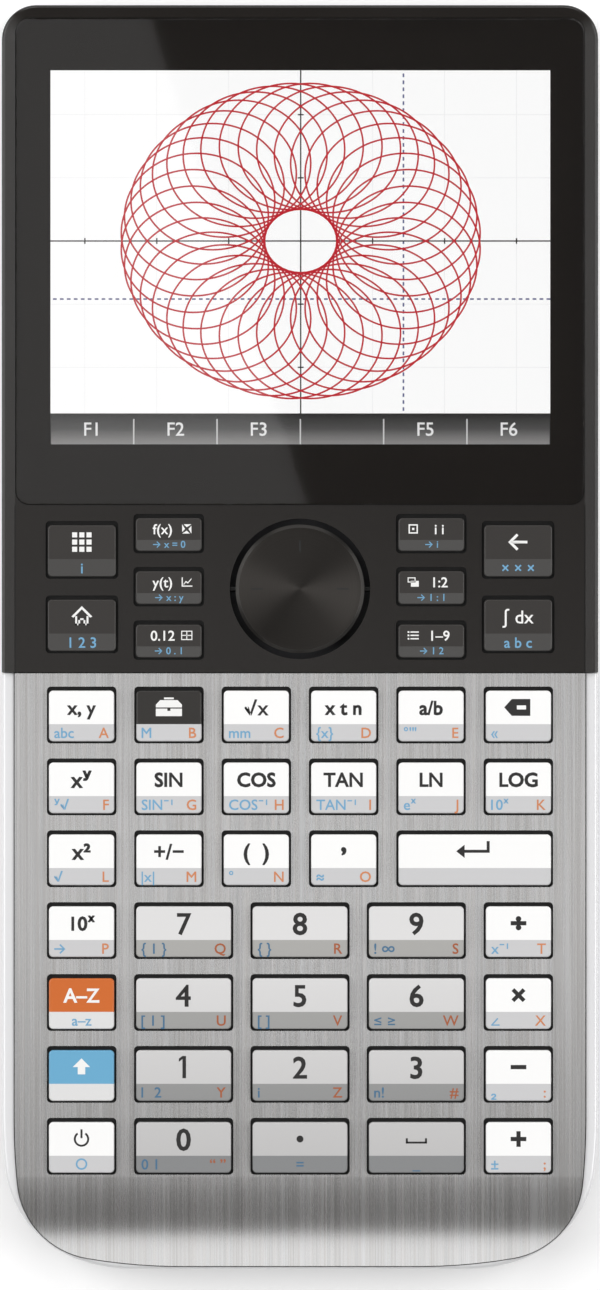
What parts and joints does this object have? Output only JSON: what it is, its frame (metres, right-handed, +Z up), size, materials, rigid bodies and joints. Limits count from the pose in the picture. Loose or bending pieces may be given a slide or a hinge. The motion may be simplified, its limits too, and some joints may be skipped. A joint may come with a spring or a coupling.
{
  "type": "graphing calculator",
  "caption": "Slim handheld graphing calculator with a colour touch display, tilting cursor disc, spring-return keys, brushed front plate and swing-out battery door.",
  "frame": {"origin": "under the middle of the whole box, on the surface that the calculator's feet rest on", "axes": "+X to the right of the keypad, +Y towards the display end, +Z up out of the keys"},
  "size_m": [0.0858, 0.182, 0.0139],
  "materials": {
    "case_plastic": "fine spark-eroded texture",
    "frame_silver": "satin silver-white paint",
    "brushed_plate": "lengthways brushed and clear anodised",
    "head_plastic": "polished dark brown-black",
    "lens_glass": "polished clear front glass",
    "display": "lit colour display",
    "membrane_rubber": "matt silicone",
    "board": "solder-masked circuit board",
    "battery_wrap": "plain film wrap",
    "screw_steel": "black zinc",
    "disc_metal": "spun dark anodised with a cut bright rim",
    "rocker_plastic": "as moulded",
    "key_dark": "satin dark keycap",
    "key_white": "satin white keycap with a grey front slope",
    "key_silver": "satin pale grey keycap with a darker front slope",
    "key_orange": "satin orange keycap",
    "key_blue": "satin blue keycap"
  },
  "bodies": {
    "body": {"rear_case": "case_plastic", "side_frame": "frame_silver", "faceplate": "brushed_plate", "head_cover": "head_plastic", "touch_lens": "lens_glass", "display_module": "display", "keypad_membrane": "membrane_rubber", "main_board": "board", "battery": "battery_wrap", "case_screws": "screw_steel"},
    "door": {"battery_door": "case_plastic"},
    "rocker": {"cursor_rocker": "rocker_plastic"},
    "disc": {"cursor_disc": "disc_metal"},
    "press_apps": {"key_apps": "key_dark"},
    "press_home": {"key_home": "key_dark"},
    "press_symbolic": {"key_symbolic": "key_dark"},
    "press_plot": {"key_plot": "key_dark"},
    "press_numeric": {"key_numeric": "key_dark"},
    "press_help": {"key_help": "key_dark"},
    "press_view": {"key_view": "key_dark"},
    "press_menu": {"key_menu": "key_dark"},
    "press_escape": {"key_escape": "key_dark"},
    "press_algebra": {"key_algebra": "key_dark"},
    "press_variables": {"key_variables": "key_white"},
    "press_templates": {"key_templates": "key_white"},
    "press_xtn": {"key_xtn": "key_white"},
    "press_fraction": {"key_fraction": "key_white"},
    "press_delete": {"key_delete": "key_white"},
    "press_power": {"key_power": "key_white"},
    "press_sine": {"key_sine": "key_white"},
    "press_cosine": {"key_cosine": "key_white"},
    "press_tangent": {"key_tangent": "key_white"},
    "press_natural_log": {"key_natural_log": "key_white"},
    "press_log": {"key_log": "key_white"},
    "press_square": {"key_square": "key_white"},
    "press_sign": {"key_sign": "key_white"},
    "press_brackets": {"key_brackets": "key_white"},
    "press_comma": {"key_comma": "key_white"},
    "press_enter": {"key_enter": "key_white"},
    "press_exponent": {"key_exponent": "key_white"},
    "press_divide": {"key_divide": "key_white"},
    "press_multiply": {"key_multiply": "key_white"},
    "press_minus": {"key_minus": "key_white"},
    "press_plus": {"key_plus": "key_white"},
    "press_0": {"key_0": "key_silver"},
    "press_1": {"key_1": "key_silver"},
    "press_2": {"key_2": "key_silver"},
    "press_3": {"key_3": "key_silver"},
    "press_4": {"key_4": "key_silver"},
    "press_5": {"key_5": "key_silver"},
    "press_6": {"key_6": "key_silver"},
    "press_7": {"key_7": "key_silver"},
    "press_8": {"key_8": "key_silver"},
    "press_9": {"key_9": "key_silver"},
    "press_point": {"key_point": "key_silver"},
    "press_space": {"key_space": "key_silver"},
    "press_on": {"key_on": "key_white"},
    "press_toolbox": {"key_toolbox": "key_dark"},
    "press_alpha": {"key_alpha": "key_orange"},
    "press_shift": {"key_shift": "key_blue"}
  },
  "joints": [
    {"name": "door_hinge", "type": "hinge", "parent": "body", "child": "door", "pos_m": [0, -0.0006, 0.0006], "axis": [1, 0, 0], "range_deg": [0, 75]},
    {"name": "cursor_tilt_x", "type": "hinge", "parent": "body", "child": "rocker", "pos_m": [0, 0.007, 0.0109], "axis": [1, 0, 0], "range_deg": [-3.5, 3.5], "stiffness_Nm_per_rad": 0.2},
    {"name": "cursor_tilt_y", "type": "hinge", "parent": "rocker", "child": "disc", "pos_m": [0, 0.007, 0.0109], "axis": [0, 1, 0], "range_deg": [-3.5, 3.5], "stiffness_Nm_per_rad": 0.2},
    {"name": "press_apps", "type": "slide", "parent": "body", "child": "press_apps", "axis": [0, 0, -1], "range_m": [0, 0.0007], "stiffness_N_per_m": 1500},
    {"name": "press_home", "type": "slide", "parent": "body", "child": "press_home", "axis": [0, 0, -1], "range_m": [0, 0.0007], "stiffness_N_per_m": 1500},
    {"name": "press_symbolic", "type": "slide", "parent": "body", "child": "press_symbolic", "axis": [0, 0, -1], "range_m": [0, 0.0007], "stiffness_N_per_m": 1500},
    {"name": "press_plot", "type": "slide", "parent": "body", "child": "press_plot", "axis": [0, 0, -1], "range_m": [0, 0.0007], "stiffness_N_per_m": 1500},
    {"name": "press_numeric", "type": "slide", "parent": "body", "child": "press_numeric", "axis": [0, 0, -1], "range_m": [0, 0.0007], "stiffness_N_per_m": 1500},
    {"name": "press_help", "type": "slide", "parent": "body", "child": "press_help", "axis": [0, 0, -1], "range_m": [0, 0.0007], "stiffness_N_per_m": 1500},
    {"name": "press_view", "type": "slide", "parent": "body", "child": "press_view", "axis": [0, 0, -1], "range_m": [0, 0.0007], "stiffness_N_per_m": 1500},
    {"name": "press_menu", "type": "slide", "parent": "body", "child": "press_menu", "axis": [0, 0, -1], "range_m": [0, 0.0007], "stiffness_N_per_m": 1500},
    {"name": "press_escape", "type": "slide", "parent": "body", "child": "press_escape", "axis": [0, 0, -1], "range_m": [0, 0.0007], "stiffness_N_per_m": 1500},
    {"name": "press_algebra", "type": "slide", "parent": "body", "child": "press_algebra", "axis": [0, 0, -1], "range_m": [0, 0.0007], "stiffness_N_per_m": 1500},
    {"name": "press_variables", "type": "slide", "parent": "body", "child": "press_variables", "axis": [0, 0, -1], "range_m": [0, 0.0007], "stiffness_N_per_m": 1500},
    {"name": "press_templates", "type": "slide", "parent": "body", "child": "press_templates", "axis": [0, 0, -1], "range_m": [0, 0.0007], "stiffness_N_per_m": 1500},
    {"name": "press_xtn", "type": "slide", "parent": "body", "child": "press_xtn", "axis": [0, 0, -1], "range_m": [0, 0.0007], "stiffness_N_per_m": 1500},
    {"name": "press_fraction", "type": "slide", "parent": "body", "child": "press_fraction", "axis": [0, 0, -1], "range_m": [0, 0.0007], "stiffness_N_per_m": 1500},
    {"name": "press_delete", "type": "slide", "parent": "body", "child": "press_delete", "axis": [0, 0, -1], "range_m": [0, 0.0007], "stiffness_N_per_m": 1500},
    {"name": "press_power", "type": "slide", "parent": "body", "child": "press_power", "axis": [0, 0, -1], "range_m": [0, 0.0007], "stiffness_N_per_m": 1500},
    {"name": "press_sine", "type": "slide", "parent": "body", "child": "press_sine", "axis": [0, 0, -1], "range_m": [0, 0.0007], "stiffness_N_per_m": 1500},
    {"name": "press_cosine", "type": "slide", "parent": "body", "child": "press_cosine", "axis": [0, 0, -1], "range_m": [0, 0.0007], "stiffness_N_per_m": 1500},
    {"name": "press_tangent", "type": "slide", "parent": "body", "child": "press_tangent", "axis": [0, 0, -1], "range_m": [0, 0.0007], "stiffness_N_per_m": 1500},
    {"name": "press_natural_log", "type": "slide", "parent": "body", "child": "press_natural_log", "axis": [0, 0, -1], "range_m": [0, 0.0007], "stiffness_N_per_m": 1500},
    {"name": "press_log", "type": "slide", "parent": "body", "child": "press_log", "axis": [0, 0, -1], "range_m": [0, 0.0007], "stiffness_N_per_m": 1500},
    {"name": "press_square", "type": "slide", "parent": "body", "child": "press_square", "axis": [0, 0, -1], "range_m": [0, 0.0007], "stiffness_N_per_m": 1500},
    {"name": "press_sign", "type": "slide", "parent": "body", "child": "press_sign", "axis": [0, 0, -1], "range_m": [0, 0.0007], "stiffness_N_per_m": 1500},
    {"name": "press_brackets", "type": "slide", "parent": "body", "child": "press_brackets", "axis": [0, 0, -1], "range_m": [0, 0.0007], "stiffness_N_per_m": 1500},
    {"name": "press_comma", "type": "slide", "parent": "body", "child": "press_comma", "axis": [0, 0, -1], "range_m": [0, 0.0007], "stiffness_N_per_m": 1500},
    {"name": "press_enter", "type": "slide", "parent": "body", "child": "press_enter", "axis": [0, 0, -1], "range_m": [0, 0.0007], "stiffness_N_per_m": 1500},
    {"name": "press_exponent", "type": "slide", "parent": "body", "child": "press_exponent", "axis": [0, 0, -1], "range_m": [0, 0.0007], "stiffness_N_per_m": 1500},
    {"name": "press_divide", "type": "slide", "parent": "body", "child": "press_divide", "axis": [0, 0, -1], "range_m": [0, 0.0007], "stiffness_N_per_m": 1500},
    {"name": "press_multiply", "type": "slide", "parent": "body", "child": "press_multiply", "axis": [0, 0, -1], "range_m": [0, 0.0007], "stiffness_N_per_m": 1500},
    {"name": "press_minus", "type": "slide", "parent": "body", "child": "press_minus", "axis": [0, 0, -1], "range_m": [0, 0.0007], "stiffness_N_per_m": 1500},
    {"name": "press_plus", "type": "slide", "parent": "body", "child": "press_plus", "axis": [0, 0, -1], "range_m": [0, 0.0007], "stiffness_N_per_m": 1500},
    {"name": "press_0", "type": "slide", "parent": "body", "child": "press_0", "axis": [0, 0, -1], "range_m": [0, 0.0007], "stiffness_N_per_m": 1500},
    {"name": "press_1", "type": "slide", "parent": "body", "child": "press_1", "axis": [0, 0, -1], "range_m": [0, 0.0007], "stiffness_N_per_m": 1500},
    {"name": "press_2", "type": "slide", "parent": "body", "child": "press_2", "axis": [0, 0, -1], "range_m": [0, 0.0007], "stiffness_N_per_m": 1500},
    {"name": "press_3", "type": "slide", "parent": "body", "child": "press_3", "axis": [0, 0, -1], "range_m": [0, 0.0007], "stiffness_N_per_m": 1500},
    {"name": "press_4", "type": "slide", "parent": "body", "child": "press_4", "axis": [0, 0, -1], "range_m": [0, 0.0007], "stiffness_N_per_m": 1500},
    {"name": "press_5", "type": "slide", "parent": "body", "child": "press_5", "axis": [0, 0, -1], "range_m": [0, 0.0007], "stiffness_N_per_m": 1500},
    {"name": "press_6", "type": "slide", "parent": "body", "child": "press_6", "axis": [0, 0, -1], "range_m": [0, 0.0007], "stiffness_N_per_m": 1500},
    {"name": "press_7", "type": "slide", "parent": "body", "child": "press_7", "axis": [0, 0, -1], "range_m": [0, 0.0007], "stiffness_N_per_m": 1500},
    {"name": "press_8", "type": "slide", "parent": "body", "child": "press_8", "axis": [0, 0, -1], "range_m": [0, 0.0007], "stiffness_N_per_m": 1500},
    {"name": "press_9", "type": "slide", "parent": "body", "child": "press_9", "axis": [0, 0, -1], "range_m": [0, 0.0007], "stiffness_N_per_m": 1500},
    {"name": "press_point", "type": "slide", "parent": "body", "child": "press_point", "axis": [0, 0, -1], "range_m": [0, 0.0007], "stiffness_N_per_m": 1500},
    {"name": "press_space", "type": "slide", "parent": "body", "child": "press_space", "axis": [0, 0, -1], "range_m": [0, 0.0007], "stiffness_N_per_m": 1500},
    {"name": "press_on", "type": "slide", "parent": "body", "child": "press_on", "axis": [0, 0, -1], "range_m": [0, 0.0007], "stiffness_N_per_m": 1500},
    {"name": "press_toolbox", "type": "slide", "parent": "body", "child": "press_toolbox", "axis": [0, 0, -1], "range_m": [0, 0.0007], "stiffness_N_per_m": 1500},
    {"name": "press_alpha", "type": "slide", "parent": "body", "child": "press_alpha", "axis": [0, 0, -1], "range_m": [0, 0.0007], "stiffness_N_per_m": 1500},
    {"name": "press_shift", "type": "slide", "parent": "body", "child": "press_shift", "axis": [0, 0, -1], "range_m": [0, 0.0007], "stiffness_N_per_m": 1500}
  ]
}
